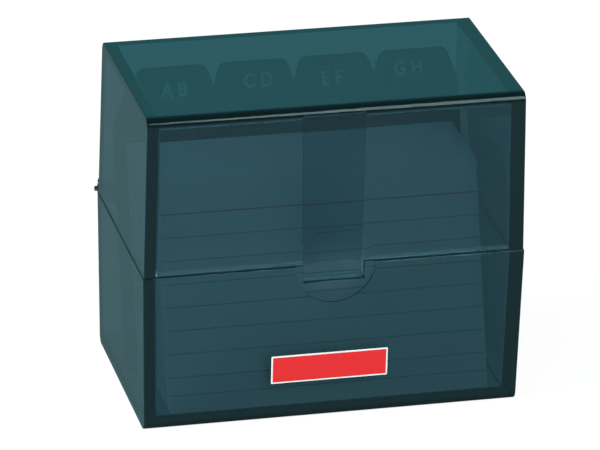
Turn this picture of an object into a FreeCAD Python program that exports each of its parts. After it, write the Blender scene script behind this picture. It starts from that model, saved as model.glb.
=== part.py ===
import FreeCAD, Part
import math
import os
import Sketcher

doc = FreeCAD.newDocument("index_card_box")

# Distance under which two positions are the same, and the least volume that a cut takes away
CLOSE = 0.001
LEAST_CUT = 0.01

# Letters of the dividers, from front to back
LETTERS = ["ab", "cd", "ef", "gh", "ij", "kl", "mn", "op", "qr", "st", "uv", "wxyz"]

# Sizes of the real object, in millimetres and degrees
sheet = doc.addObject("Spreadsheet::Sheet", "Sizes")
SIZES = [
    ("card_wide", "74"),
    ("card_tall", "53"),
    ("card_thick", "0.2"),
    ("card_air", "0.01"),
    ("pack_air", "0.04"),
    ("pack_cards", "20"),
    ("pack_total", "5"),
    ("card_inset", "2.5"),
    ("divider_above", "2.34"),
    ("divider_thick", "0.16"),
    ("divider_air", "0.03"),
    ("divider_total", str(len(LETTERS))),
    ("divider_play", "1.04"),
    ("tab_places", "4"),
    ("tab_tall", "12"),
    ("tab_side_run", "3.8"),
    ("tab_round", "2"),
    ("tab_gap", "3.45"),
    ("tab_edge", "2.8"),
    ("tab_shift", "0.95"),
    ("lean", "17.5"),
    ("floor_gap", "0.05"),
    ("front_gap", "0.3"),
    ("back_play", "0.411"),
    ("lid_room", "5.677"),
    ("end_wall", "3.0"),
    ("front_wall", "2.5"),
    ("back_wall", "2.0"),
    ("floor_wall", "3.0"),
    ("top_wall", "2.8"),
    ("rim_step", "0.2"),
    ("rim_z", "37.9"),
    ("seam", "0.15"),
    ("draft", "0.92"),
    ("edge_round", "2.2"),
    ("inner_round", "0.35"),
    ("dish_radius", "9.4"),
    ("dish_rim", "0.3"),
    ("dish_step_base", "0.3"),
    ("dish_step_lid", "0.12"),
    ("dish_deep_base", "1.15"),
    ("dish_deep_lid", "0.7"),
    ("tongue_left", "-7.1"),
    ("tongue_right", "6.45"),
    ("tongue_drop", "4.3"),
    ("tongue_front", "1.8"),
    ("foot_tall", "1.45"),
    ("foot_proud", "0.1"),
    ("foot_round", "0.45"),
    ("notch_play_left", "0.2"),
    ("notch_play_right", "0.55"),
    ("notch_play_low", "0.15"),
    ("rib_flare", "0.4"),
    ("rib_thick", "0.85"),
    ("hinge_behind", "1.45"),
    ("hinge_inset", "0.5"),
    ("knuckle_long", "6.9"),
    ("knuckle_gap", "0.3"),
    ("knuckle_radius", "1.2"),
    ("turn_gap", "0.25"),
    ("flange_behind", "0.78"),
    ("flange_square", "1.6"),
    ("flange_slope", "1.1"),
    ("flange_root", "0.8"),
    ("pin_radius", "0.6"),
    ("pin_play", "0.08"),
    ("pin_proud", "0.35"),
    ("label_wide", "27.1"),
    ("label_tall", "6.8"),
    ("label_thick", "0.12"),
    ("label_shift", "-0.75"),
    ("label_z", "9.4"),
    ("overcut", "1"),
]
# The case is drawn round its contents: each of its three sizes adds up what lies along that direction.
DERIVED = [
    ("divider_wide", "=card_wide + 2 * card_inset"),
    ("divider_tall", "=card_tall + divider_above"),
    ("tab_pitch", "=(divider_wide - tab_edge) / tab_places"),
    ("tab_top_wide", "=tab_pitch - tab_gap"),
    ("base_slant", "=(rim_z - floor_wall) * tan(draft * 1deg)"),
    ("case_width", "=divider_wide + 2 * (divider_play + base_slant + end_wall)"),
    ("case_height", "=floor_wall + (divider_tall + tab_tall) * cos(lean * 1deg) + lid_room + top_wall"),
    ("lid_z", "=rim_z + seam"),
    ("lid_rise", "=case_height - top_wall - lid_z"),
    ("lid_slant", "=lid_rise * tan(draft * 1deg)"),
    ("card_pitch", "=card_thick + card_air"),
    ("card_step_up", "=card_pitch * tan(lean * 1deg)"),
    ("pack_pitch", "=(pack_cards * card_pitch + pack_air) / cos(lean * 1deg)"),
    ("divider_pitch", "=(divider_thick + divider_air) / cos(lean * 1deg)"),
    ("front_part", "=front_wall + base_slant + front_gap"),
    ("stack_part", "=pack_total * pack_pitch + divider_total * divider_pitch"),
    ("back_part", "=(divider_tall + tab_tall) * sin(lean * 1deg) + back_play + lid_slant + back_wall + rim_step"),
    ("case_depth", "=front_part + stack_part + back_part"),
    ("lid_width", "=case_width - 2 * rim_step"),
    ("lid_depth", "=case_depth - 2 * rim_step"),
    ("front_y", "=-case_depth / 2"),
    ("lid_front_y", "=-lid_depth / 2"),
    ("stack_y", "=front_y + front_part"),
    ("dividers_y", "=stack_y + pack_total * pack_pitch"),
    ("sheet_z", "=floor_wall + floor_gap + card_thick * sin(lean * 1deg)"),
    ("axis_y", "=case_depth / 2 + hinge_behind"),
    ("axis_z", "=rim_z + seam / 2"),
    ("hinge_end", "=case_width / 2 - hinge_inset"),
    ("turn_radius", "=knuckle_radius + turn_gap"),
    ("flange_long", "=2 * knuckle_long + knuckle_gap"),
    ("rib_face_y", "=lid_front_y + front_wall + rib_thick"),
    ("foot_front", "=dish_deep_base - foot_proud"),
    ("notch_left", "=tongue_left - notch_play_left"),
    ("notch_right", "=tongue_right + notch_play_right"),
    ("notch_z", "=lid_z - tongue_drop - notch_play_low"),
]
for row, (name, value) in enumerate(SIZES + DERIVED, start=1):
    cell = "B%d" % row
    sheet.set("A%d" % row, name)
    sheet.set(cell, value)
    sheet.setAlias(cell, name)
doc.recompute()


def size(name):
    """Number held by one named cell."""
    return float(getattr(sheet, name))


def new_body(name):
    """Empty body whose label is the name of its piece."""
    body = doc.addObject("PartDesign::Body", name)
    body.Label = name
    return body


def origin_plane(body, role):
    """Origin plane of a body, found by its role."""
    return [part for part in body.Origin.OriginFeatures if part.Role == role][0]


def new_sketch(body, name, role, offset):
    """Sketch lying on an origin plane, moved along its normal by an expression."""
    sketch = body.newObject("Sketcher::SketchObject", name)
    sketch.AttachmentSupport = [(origin_plane(body, role), "")]
    sketch.MapMode = "FlatFace"
    sketch.setExpression(".AttachmentOffset.Base.z", offset)
    return sketch


def outline(body, name, role, offset, corners, bowed=None):
    """Closed outline of straight edges, each corner tied to the sizes by two expressions.

    The edge numbered bowed is an arc instead, about a centre on the line through the first corner along
    the sketch's own X; that line, from the first to the last corner, becomes an axis for turning.
    """
    sketch = new_sketch(body, name, role, offset)
    spots = [(float(sketch.evalExpression(a)), float(sketch.evalExpression(b))) for a, b in corners]
    ends = spots[1:] + spots[:1]
    for i, (start, end) in enumerate(zip(spots, ends)):
        first = FreeCAD.Vector(start[0], start[1], 0)
        last = FreeCAD.Vector(end[0], end[1], 0)
        if i == bowed:
            deep = last.x - first.x
            wide = last.y - first.y
            radius = (wide ** 2 + deep ** 2) / (2 * deep)
            circle = Part.Circle(last - FreeCAD.Vector(radius, 0, 0), FreeCAD.Vector(0, 0, 1), radius)
            sketch.addGeometry(Part.ArcOfCircle(circle, -math.asin(wide / radius), 0), False)
        else:
            sketch.addGeometry(Part.LineSegment(first, last), False)
    count = len(corners)
    for i in range(count):
        sketch.addConstraint(Sketcher.Constraint("Coincident", i, 2, (i + 1) % count, 1))
    for i, (across, along) in enumerate(corners):
        for kind, word, text, spot in (("DistanceX", "across", across, spots[i][0]),
                                       ("DistanceY", "along", along, spots[i][1])):
            number = sketch.addConstraint(Sketcher.Constraint(kind, -1, 1, i, 1, spot))
            sketch.renameConstraint(number, "%s_%d" % (word, i))
            sketch.setExpression("Constraints.%s_%d" % (word, i), text)
    if bowed is not None:
        centre = sketch.addConstraint(Sketcher.Constraint("DistanceY", -1, 1, bowed, 3, spots[0][1]))
        sketch.renameConstraint(centre, "centre")
        sketch.setExpression("Constraints.centre", corners[0][1])
        line = Part.LineSegment(FreeCAD.Vector(*spots[0], 0), FreeCAD.Vector(*spots[-1], 0))
        axis = sketch.addGeometry(line, True)
        sketch.addConstraint(Sketcher.Constraint("Coincident", axis, 1, 0, 1))
        sketch.addConstraint(Sketcher.Constraint("Coincident", axis, 2, bowed, 2))
    return sketch


def ring(body, name, offset, radius):
    """Circle about the hinge axis, in a plane across the axis."""
    sketch = new_sketch(body, name, "YZ_Plane", offset)
    middle = FreeCAD.Vector(size("axis_y"), size("axis_z"), 0)
    start = float(sketch.evalExpression(radius))
    sketch.addGeometry(Part.Circle(middle, FreeCAD.Vector(0, 0, 1), start), False)
    for kind, word, text in (("DistanceX", "across", "Sizes.axis_y"), ("DistanceY", "along", "Sizes.axis_z")):
        spot = float(sketch.evalExpression(text))
        number = sketch.addConstraint(Sketcher.Constraint(kind, -1, 1, 0, 3, spot))
        sketch.renameConstraint(number, word)
        sketch.setExpression("Constraints." + word, text)
    number = sketch.addConstraint(Sketcher.Constraint("Radius", 0, start))
    sketch.renameConstraint(number, "round")
    sketch.setExpression("Constraints.round", radius)
    return sketch


def grow(body, name, sketch, length, back=False):
    """Pad a sketch by an expression, optionally backwards."""
    pad = body.newObject("PartDesign::Pad", name)
    pad.Profile = sketch
    pad.setExpression("Length", length)
    pad.Reversed = back
    doc.recompute()
    return pad


def cut(body, name, sketch, length, back=False, both=False):
    """Pocket a sketch by an expression; a cut that takes nothing away is an error."""
    before = body.Shape.Volume
    pocket = body.newObject("PartDesign::Pocket", name)
    pocket.Profile = sketch
    pocket.setExpression("Length", length)
    pocket.Reversed = back
    pocket.Midplane = both
    doc.recompute()
    if body.Shape.Volume > before - LEAST_CUT:
        raise RuntimeError(name + " takes nothing away")
    return pocket


def round_edges(body, name, feature, radius, chosen):
    """Fillet of the edges of a feature for which chosen(edge) is true."""
    names = ["Edge%d" % (i + 1) for i, edge in enumerate(feature.Shape.Edges) if chosen(edge)]
    fillet = body.newObject("PartDesign::Fillet", name)
    fillet.Base = (feature, names)
    fillet.setExpression("Radius", radius)
    doc.recompute()
    return fillet


def behind_skin(point):
    """True for a point that lies deeper than half a wall behind the four outer faces."""
    return (abs(point.x) < (size("case_width") - size("end_wall")) / 2
            and abs(point.y) < (size("case_depth") - size("back_wall")) / 2)


def lean_walls(body, name, feature, seam_z, inner):
    """Draft of the upright faces about the seam: outer ones, or those of the cavity."""
    upright = []
    for i, face in enumerate(feature.Shape.Faces):
        box = face.BoundBox
        if box.ZLength > size("rim_z") / 2 and behind_skin(box.Center) == inner:
            upright.append("Face%d" % (i + 1))
        if box.ZLength < CLOSE and abs(box.ZMin - seam_z) < CLOSE:
            neutral = "Face%d" % (i + 1)
    before = body.Shape.Volume
    draft = body.newObject("PartDesign::Draft", name)
    draft.Base = (feature, upright)
    draft.NeutralPlane = (feature, [neutral])
    draft.setExpression("Angle", "Sizes.draft")
    doc.recompute()
    if (body.Shape.Volume > before) != inner:
        draft.Reversed = True
        doc.recompute()
    if (body.Shape.Volume > before) != inner:
        raise RuntimeError(name + " leans the wrong way")
    return draft


def rectangle(half_x, low_y, high_y):
    """Corners of a rectangle centred on x = 0."""
    return [("-" + half_x, low_y), (half_x, low_y), (half_x, high_y), ("-" + half_x, high_y)]


def in_cavity(edge):
    """True for an edge of a cavity that lies neither in the seam nor outside the closed end."""
    box = edge.BoundBox
    level = box.ZLength < CLOSE
    seam = level and size("rim_z") - CLOSE < box.ZMin < size("lid_z") + CLOSE
    low = size("floor_wall") / 2
    high = size("case_height") - size("top_wall") / 2
    return behind_skin(box.Center) and not seam and low < box.Center.z < high


def runs_along_x(edge):
    """True for an edge parallel to X."""
    return edge.BoundBox.YLength < CLOSE and edge.BoundBox.ZLength < CLOSE


def thumb_dish(body, name, face_y, step, deep):
    """Round thumb hollow in the front face: a short steep rim, then a floor that is part of a ball.

    Its profile lies below a line that runs into the wall at the height of the seam, and is turned about it.
    """
    low = "Sizes.axis_z - Sizes.dish_radius"
    corners = [
        (face_y + " - Sizes.overcut", "Sizes.axis_z"),
        (face_y + " - Sizes.overcut", low),
        (face_y, low),
        ("%s + %s" % (face_y, step), low + " + Sizes.dish_rim"),
        ("%s + %s" % (face_y, deep), "Sizes.axis_z"),
    ]
    profile = outline(body, name + "_profile", "YZ_Plane", "0", corners, bowed=3)
    before = body.Shape.Volume
    groove = body.newObject("PartDesign::Groove", name)
    groove.Profile = profile
    groove.ReferenceAxis = (profile, ["Axis0"])
    doc.recompute()
    if body.Shape.Volume > before - LEAST_CUT:
        raise RuntimeError(name + " takes nothing away")


def hinge_half(body, sign, wall_y, seam_z, own_start, other_start):
    """One half of both hinge units: a flange over the whole unit and a knuckle over its own part.

    sign is +1 for the flange above the seam and -1 for the one below; own_start and
    other_start are the distances of the inner ends of the two knuckles from the middle.
    """
    up = "Sizes.axis_z + (%d) * " % sign
    profile = [
        (wall_y + " - Sizes.flange_root", seam_z),
        ("Sizes.axis_y + Sizes.flange_behind", seam_z),
        ("Sizes.axis_y + Sizes.flange_behind", up + "Sizes.flange_square"),
        ("Sizes.axis_y - Sizes.flange_slope + Sizes.flange_behind",
         up + "(Sizes.flange_square + Sizes.flange_slope)"),
        (wall_y + " - Sizes.flange_root", up + "(Sizes.flange_square + Sizes.flange_slope)"),
    ]
    for side, turn in (("left", -1), ("right", 1)):
        def start(inner, length):
            """Where a stretch begins that reaches outwards from inner by length, towards +X."""
            if turn > 0:
                return inner
            return "-(%s + %s)" % (inner, length)

        inner_end = "(Sizes.hinge_end - Sizes.flange_long)"
        flange = outline(body, "flange_profile_" + side, "YZ_Plane",
                         start(inner_end, "Sizes.flange_long"), profile)
        grow(body, "flange_" + side, flange, "Sizes.flange_long")
        long_gap = "(Sizes.knuckle_long + 2 * Sizes.knuckle_gap)"
        room = ring(body, "room_circle_" + side,
                    start("(%s - Sizes.knuckle_gap)" % other_start, long_gap), "Sizes.turn_radius")
        cut(body, "room_" + side, room, long_gap, back=True)
        knuckle = ring(body, "knuckle_circle_" + side,
                       start(own_start, "Sizes.knuckle_long"), "Sizes.knuckle_radius")
        grow(body, "knuckle_" + side, knuckle, "Sizes.knuckle_long")


def bore(body, name, radius):
    """Hole for the pins through all knuckles of a body."""
    hole = ring(body, name + "_circle", "0", radius)
    cut(body, name, hole, "Sizes.case_width", both=True)


# Base tray
base = new_body("base_tray")
outer = outline(base, "outer_outline", "XY_Plane", "Sizes.rim_z",
                rectangle("Sizes.case_width / 2", "-Sizes.case_depth / 2", "Sizes.case_depth / 2"))
block = grow(base, "outer_block", outer, "Sizes.rim_z", back=True)
leaning = lean_walls(base, "outer_draft", block, size("rim_z"), False)
rounded = round_edges(base, "long_edges", leaning, "Sizes.edge_round",
                      lambda edge: runs_along_x(edge) and abs(edge.BoundBox.ZMin) < CLOSE)
hollow = outline(base, "cavity_outline", "XY_Plane", "Sizes.rim_z",
                 rectangle("(Sizes.case_width / 2 - Sizes.end_wall)", "Sizes.front_y + Sizes.front_wall",
                           "Sizes.case_depth / 2 - Sizes.back_wall"))
cavity = cut(base, "cavity", hollow, "Sizes.rim_z - Sizes.floor_wall")
leaning = lean_walls(base, "cavity_draft", cavity, size("rim_z"), True)
round_edges(base, "cavity_edges", leaning, "Sizes.inner_round", in_cavity)
notch = outline(base, "notch_outline", "XZ_Plane", "-Sizes.front_y + Sizes.overcut", [
    ("Sizes.notch_left", "Sizes.notch_z"),
    ("Sizes.notch_right", "Sizes.notch_z"),
    ("Sizes.notch_right", "Sizes.rim_z + Sizes.overcut"),
    ("Sizes.notch_left", "Sizes.rim_z + Sizes.overcut"),
])
cut(base, "notch", notch, "Sizes.front_wall + 2 * Sizes.overcut")
thumb_dish(base, "thumb_dish", "Sizes.front_y", "Sizes.dish_step_base", "Sizes.dish_deep_base")
outer_knuckle = "(Sizes.hinge_end - Sizes.knuckle_long)"
inner_knuckle = "(Sizes.hinge_end - Sizes.flange_long)"
hinge_half(base, -1, "Sizes.case_depth / 2", "Sizes.rim_z", outer_knuckle, inner_knuckle)
bore(base, "pin_bore", "Sizes.pin_radius")

# Lid
lid = new_body("lid")
outer = outline(lid, "outer_outline", "XY_Plane", "Sizes.lid_z",
                rectangle("Sizes.lid_width / 2", "-Sizes.lid_depth / 2", "Sizes.lid_depth / 2"))
block = grow(lid, "outer_block", outer, "Sizes.case_height - Sizes.lid_z")
leaning = lean_walls(lid, "outer_draft", block, size("lid_z"), False)
round_edges(lid, "long_edges", leaning, "Sizes.edge_round",
            lambda edge: runs_along_x(edge) and abs(edge.BoundBox.ZMin - size("case_height")) < CLOSE)
hollow = outline(lid, "cavity_outline", "XY_Plane", "Sizes.lid_z",
                 rectangle("(Sizes.lid_width / 2 - Sizes.end_wall)", "Sizes.lid_front_y + Sizes.front_wall",
                           "Sizes.lid_depth / 2 - Sizes.back_wall"))
cavity = cut(lid, "cavity", hollow, "Sizes.lid_rise", back=True)
leaning = lean_walls(lid, "cavity_draft", cavity, size("lid_z"), True)
round_edges(lid, "cavity_edges", leaning, "Sizes.inner_round", in_cavity)

# Stiffening rib inside the lid's front wall, wider at the top
rib = outline(lid, "rib_outline", "XZ_Plane", "-Sizes.lid_front_y - Sizes.front_wall / 2", [
    ("Sizes.tongue_left", "Sizes.lid_z"),
    ("Sizes.tongue_right", "Sizes.lid_z"),
    ("Sizes.tongue_right + Sizes.rib_flare", "Sizes.case_height - Sizes.top_wall / 2"),
    ("Sizes.tongue_left - Sizes.rib_flare", "Sizes.case_height - Sizes.top_wall / 2"),
])
grow(lid, "rib", rib, "Sizes.front_wall / 2 + Sizes.rib_thick + Sizes.lid_slant", back=True)
trim = outline(lid, "rib_trim_outline", "YZ_Plane", "0", [
    ("Sizes.rib_face_y", "Sizes.lid_z"),
    ("Sizes.rib_face_y + 2 * Sizes.rib_thick", "Sizes.lid_z"),
    ("Sizes.rib_face_y + 2 * Sizes.rib_thick", "Sizes.lid_z + Sizes.lid_rise"),
    ("Sizes.rib_face_y + Sizes.lid_slant", "Sizes.lid_z + Sizes.lid_rise"),
])
cut(lid, "rib_trim", trim, "Sizes.lid_width - 2 * (Sizes.end_wall + Sizes.lid_slant + Sizes.inner_round)", both=True)

# Tongue with its forward foot, hanging from the rib into the base's notch
tongue = outline(lid, "tongue_outline", "YZ_Plane", "Sizes.tongue_left", [
    ("Sizes.front_y + Sizes.tongue_front", "Sizes.lid_z"),
    ("Sizes.front_y + Sizes.tongue_front", "Sizes.lid_z - Sizes.tongue_drop + Sizes.foot_tall"),
    ("Sizes.front_y + Sizes.foot_front", "Sizes.lid_z - Sizes.tongue_drop + Sizes.foot_tall"),
    ("Sizes.front_y + Sizes.foot_front", "Sizes.lid_z - Sizes.tongue_drop"),
    ("Sizes.rib_face_y", "Sizes.lid_z - Sizes.tongue_drop"),
    ("Sizes.rib_face_y", "Sizes.lid_z"),
])
hanging = grow(lid, "tongue", tongue, "Sizes.tongue_right - Sizes.tongue_left")
foot_y = size("front_y") + size("foot_front")
foot_z = size("lid_z") - size("tongue_drop")
round_edges(lid, "foot_edge", hanging, "Sizes.foot_round",
            lambda edge: runs_along_x(edge) and abs(edge.BoundBox.YMin - foot_y) < CLOSE
            and abs(edge.BoundBox.ZMin - foot_z) < CLOSE)
thumb_dish(lid, "thumb_dish", "Sizes.lid_front_y", "Sizes.dish_step_lid", "Sizes.dish_deep_lid")
hinge_half(lid, 1, "Sizes.lid_depth / 2", "Sizes.lid_z", inner_knuckle, outer_knuckle)
bore(lid, "pin_bore", "Sizes.pin_radius + Sizes.pin_play")

# Hinge pins
pins = []
for side, turn in (("left", -1), ("right", 1)):
    pin = doc.addObject("Part::Cylinder", "hinge_pin_" + side)
    pin.Label = "hinge_pin_" + side
    pin.setExpression("Radius", "Sizes.pin_radius")
    pin.setExpression("Height", "Sizes.case_width / 2 + Sizes.pin_proud - Sizes.hinge_end + Sizes.flange_long")
    pin.Placement = FreeCAD.Placement(FreeCAD.Vector(0, 0, 0), FreeCAD.Rotation(FreeCAD.Vector(0, 1, 0), 90))
    inner_end = "Sizes.hinge_end - Sizes.flange_long"
    if turn < 0:
        inner_end = "-Sizes.case_width / 2 - Sizes.pin_proud"
    pin.setExpression(".Placement.Base.x", inner_end)
    pin.setExpression(".Placement.Base.y", "Sizes.axis_y")
    pin.setExpression(".Placement.Base.z", "Sizes.axis_z")
    pins.append(pin)

# Front label, lying on the drafted front face of the base
label = doc.addObject("Part::Box", "front_label")
label.Label = "front_label"
label.setExpression("Length", "Sizes.label_wide")
label.setExpression("Width", "Sizes.label_thick")
label.setExpression("Height", "Sizes.label_tall")
label.Placement = FreeCAD.Placement(FreeCAD.Vector(0, 0, 0),
                                    FreeCAD.Rotation(FreeCAD.Vector(1, 0, 0), size("draft")))
label.setExpression(".Placement.Base.x", "Sizes.label_shift - Sizes.label_wide / 2")
label.setExpression(".Placement.Base.y", "Sizes.front_y + (Sizes.rim_z - Sizes.label_z) * tan(Sizes.draft * 1deg)"
                    " - Sizes.label_thick / cos(Sizes.draft * 1deg)")
label.setExpression(".Placement.Base.z", "Sizes.label_z")

# Index cards, in packs that lean back together
tilt = FreeCAD.Rotation(FreeCAD.Vector(1, 0, 0), -size("lean"))
packs = []
for number in range(int(size("pack_total"))):
    cards = []
    for place in range(int(size("pack_cards"))):
        card = doc.addObject("Part::Box", "card_%d_%d" % (number + 1, place + 1))
        card.setExpression("Length", "Sizes.card_wide")
        card.setExpression("Width", "Sizes.card_thick")
        card.setExpression("Height", "Sizes.card_tall")
        card.setExpression(".Placement.Base.x", "-Sizes.card_wide / 2")
        card.setExpression(".Placement.Base.y", "%d * Sizes.card_pitch" % place)
        card.setExpression(".Placement.Base.z", "%d * Sizes.card_step_up" % place)
        cards.append(card)
    pack = doc.addObject("Part::Compound", "card_pack_%d" % (number + 1))
    pack.Label = "card_pack_%d" % (number + 1)
    pack.Links = cards
    pack.Placement = FreeCAD.Placement(FreeCAD.Vector(0, 0, 0), tilt)
    pack.setExpression(".Placement.Base.y", "Sizes.stack_y + %d * Sizes.pack_pitch" % number)
    pack.setExpression(".Placement.Base.z", "Sizes.sheet_z")
    packs.append(pack)


def shoulder(middle, side):
    """Corners on one side of a tab: the sheet's top corner and the tab's root.

    Where the root would lie beyond the sheet's edge, the tab's flank ends on that edge instead. side is -1 or 1.
    """
    edge = "(%d) * Sizes.divider_wide / 2" % side
    reach = "((%d) * %s + Sizes.tab_top_wide / 2 + Sizes.tab_side_run)" % (side, middle)
    over = "(%s - Sizes.divider_wide / 2)" % reach
    if float(sheet.evalExpression(over.replace("Sizes.", ""))) < 0:
        return [(edge, "Sizes.divider_tall"), ("(%d) * %s" % (side, reach), "Sizes.divider_tall")]
    return [(edge, "Sizes.divider_tall + %s * Sizes.tab_tall / Sizes.tab_side_run" % over)]


# Tabbed dividers, with the tab in each place in turn
dividers = []
places = int(size("tab_places"))
for number, letters in enumerate(LETTERS):
    divider = new_body("divider_" + letters)
    middle = "(Sizes.tab_shift + (%g) * Sizes.tab_pitch)" % (number % places - (places - 1) / 2)
    top = "Sizes.divider_tall + Sizes.tab_tall"
    corners = [("-Sizes.divider_wide / 2", "0"), ("Sizes.divider_wide / 2", "0")]
    corners += shoulder(middle, 1)
    corners += [(middle + " + Sizes.tab_top_wide / 2", top), (middle + " - Sizes.tab_top_wide / 2", top)]
    corners += shoulder(middle, -1)[::-1]
    shape = outline(divider, "sheet_outline", "XZ_Plane", "0", corners)
    plate = grow(divider, "sheet", shape, "Sizes.divider_thick", back=True)
    high = size("divider_tall") + size("tab_tall")
    round_edges(divider, "tab_corners", plate, "Sizes.tab_round",
                lambda edge: edge.BoundBox.ZMin > high - CLOSE and edge.BoundBox.XLength < CLOSE)
    divider.Placement = FreeCAD.Placement(FreeCAD.Vector(0, 0, 0), tilt)
    divider.setExpression(".Placement.Base.y", "Sizes.dividers_y + %d * Sizes.divider_pitch" % number)
    divider.setExpression(".Placement.Base.z", "Sizes.sheet_z")
    dividers.append(divider)

doc.recompute()
pieces = [base, lid, label] + pins + packs + dividers
for thing in doc.Objects:
    if "Invalid" in thing.State or "Error" in thing.State:
        raise RuntimeError(thing.Label + " isn't valid")
os.makedirs("parts", exist_ok=True)
for piece in pieces:
    if piece.Shape.isNull() or not piece.Shape.isValid():
        raise RuntimeError(piece.Label + " has no valid shape")
    piece.Shape.exportStep("parts/%s.step" % piece.Label)
    box = piece.Shape.BoundBox
    print(piece.Label, len(piece.Shape.Solids), [round(v, 2) for v in (
        box.XMin, box.XMax, box.YMin, box.YMax, box.ZMin, box.ZMax)], round(piece.Shape.Volume, 1))
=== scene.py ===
import math

import bmesh
import bpy
import numpy as np
from mathutils import Matrix, Vector


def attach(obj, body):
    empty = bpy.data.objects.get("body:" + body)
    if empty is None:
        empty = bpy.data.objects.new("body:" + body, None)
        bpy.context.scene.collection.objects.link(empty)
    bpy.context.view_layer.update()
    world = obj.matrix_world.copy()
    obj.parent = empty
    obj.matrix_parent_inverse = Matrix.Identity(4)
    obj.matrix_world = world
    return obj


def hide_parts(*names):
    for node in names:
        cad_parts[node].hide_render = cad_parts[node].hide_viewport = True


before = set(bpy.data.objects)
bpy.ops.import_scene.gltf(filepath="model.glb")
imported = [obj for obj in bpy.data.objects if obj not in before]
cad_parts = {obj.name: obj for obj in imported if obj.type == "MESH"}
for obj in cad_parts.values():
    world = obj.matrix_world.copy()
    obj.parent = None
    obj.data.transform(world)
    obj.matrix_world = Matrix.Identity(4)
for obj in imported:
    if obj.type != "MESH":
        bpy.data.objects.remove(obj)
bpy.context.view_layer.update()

# Camera, white table and studio.
# A long lens, 14 degrees to the left of the box and 23 degrees above it. The table and the room look white to
# the camera, dim through the plastic and almost black in its gloss; soft lights do the rest.
camera = bpy.data.objects.new("camera", bpy.data.cameras.new("camera"))
bpy.context.scene.collection.objects.link(camera)
camera.data.lens = 300.06
camera.data.sensor_width = 36.0
camera.data.clip_end = 10.0
camera_place = (-0.25801, -1.01907, 0.49065)
camera_right = Vector((0.971738, -0.235208, 0.020050))
camera_up = Vector((0.075413, 0.389796, 0.917808))
camera_away = Vector((-0.223691, -0.890358, 0.396517))
camera.matrix_world = Matrix.Translation(camera_place) @ Matrix(
    (camera_right, camera_up, camera_away)).transposed().to_4x4()
bpy.context.scene.camera = camera
bpy.context.scene.view_settings.view_transform = "Standard"


def node(tree, kind, **settings):
    """A shader node of a kind; a setting in small letters is a property, others are inputs, _ for a space."""
    made = tree.nodes.new(kind)
    for name, value in settings.items():
        if name.islower():
            setattr(made, name, value)
        else:
            made.inputs[name.replace("_", " ")].default_value = value
    return made


def new_finish(name, **settings):
    """A material and the settings of its Principled shader; returns material, node tree and shader."""
    finish = bpy.data.materials.new(name)
    finish.use_nodes = True
    shader = finish.node_tree.nodes["Principled BSDF"]
    for place, value in settings.items():
        shader.inputs[place.replace("_", " ")].default_value = value
    return finish, finish.node_tree, shader


def put(name, corners, faces, finish=None, smooth=None):
    """An object at the origin from arrays of corner places and of faces."""
    mesh = bpy.data.meshes.new(name)
    mesh.from_pydata(np.asarray(corners, float).tolist(), [], [tuple(int(i) for i in face) for face in faces])
    mesh.update()
    if smooth is not None:
        mesh.polygons.foreach_set("use_smooth", smooth)
    thing = bpy.data.objects.new(name, mesh)
    bpy.context.scene.collection.objects.link(thing)
    if finish:
        mesh.materials.append(finish)
    return thing


def math_node(tree, operation, first, second=None, third=None):
    """A Math node; each input is a socket or a number."""
    made = tree.nodes.new("ShaderNodeMath")
    made.operation = operation
    for place, given in enumerate((first, second, third)):
        if given is None:
            continue
        if isinstance(given, (int, float)):
            made.inputs[place].default_value = given
        else:
            tree.links.new(given, made.inputs[place])
    return made.outputs[0]


def by_ray(tree, light, seen, through, mirrored):
    """A strength that is one of four numbers, for the kind of ray.

    seen is for the camera, through for what shows through the plastic, mirrored for reflections and light
    for everything else.
    """
    path = node(tree, "ShaderNodeLightPath")
    passing = path.outputs["Is Transmission Ray"]
    not_passing = math_node(tree, "SUBTRACT", 1.0, passing)
    glossy = math_node(tree, "MULTIPLY", path.outputs["Is Glossy Ray"], not_passing)
    level = math_node(tree, "MULTIPLY_ADD", path.outputs["Is Camera Ray"], seen - light, light)
    level = math_node(tree, "MULTIPLY_ADD", passing, through - light, level)
    return math_node(tree, "MULTIPLY_ADD", glossy, mirrored - light, level)


WHITE = (1, 1, 1, 1)
TABLE_REACH = 3.0
table_paint, tree, shader = new_finish("table_paint", Base_Color=(0.1, 0.1, 0.1, 1), Roughness=0.8,
                                       Specular_IOR_Level=0.0, Emission_Color=WHITE)
table_glow = by_ray(tree, light=0.0, seen=0.92, through=0.27, mirrored=0.0)
tree.links.new(table_glow, shader.inputs["Emission Strength"])
table_corners = [(-TABLE_REACH, -TABLE_REACH, 0), (TABLE_REACH, -TABLE_REACH, 0),
                 (TABLE_REACH, TABLE_REACH, 0), (-TABLE_REACH, TABLE_REACH, 0)]
table = put("table", table_corners, [(0, 1, 2, 3)], table_paint)

world = bpy.data.worlds.new("studio")
bpy.context.scene.world = world
world.use_nodes = True
background = world.node_tree.nodes["Background"]
background.inputs["Color"].default_value = WHITE
room_glow = by_ray(world.node_tree, light=0.26, seen=1.0, through=0.29, mirrored=0.03)
world.node_tree.links.new(room_glow, background.inputs["Strength"])


def soft_light(name, place, aim, wide, tall, power):
    """An elliptical area light at a place, facing a point, both in metres."""
    lamp = bpy.data.objects.new(name, bpy.data.lights.new(name, "AREA"))
    lamp.data.shape = "ELLIPSE"
    lamp.data.size = wide
    lamp.data.size_y = tall
    lamp.data.energy = power
    bpy.context.scene.collection.objects.link(lamp)
    away = (Vector(place) - Vector(aim)).normalized()
    lamp.matrix_world = Matrix.Translation(place) @ away.to_track_quat("Z", "Y").to_matrix().to_4x4()
    return lamp


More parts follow.
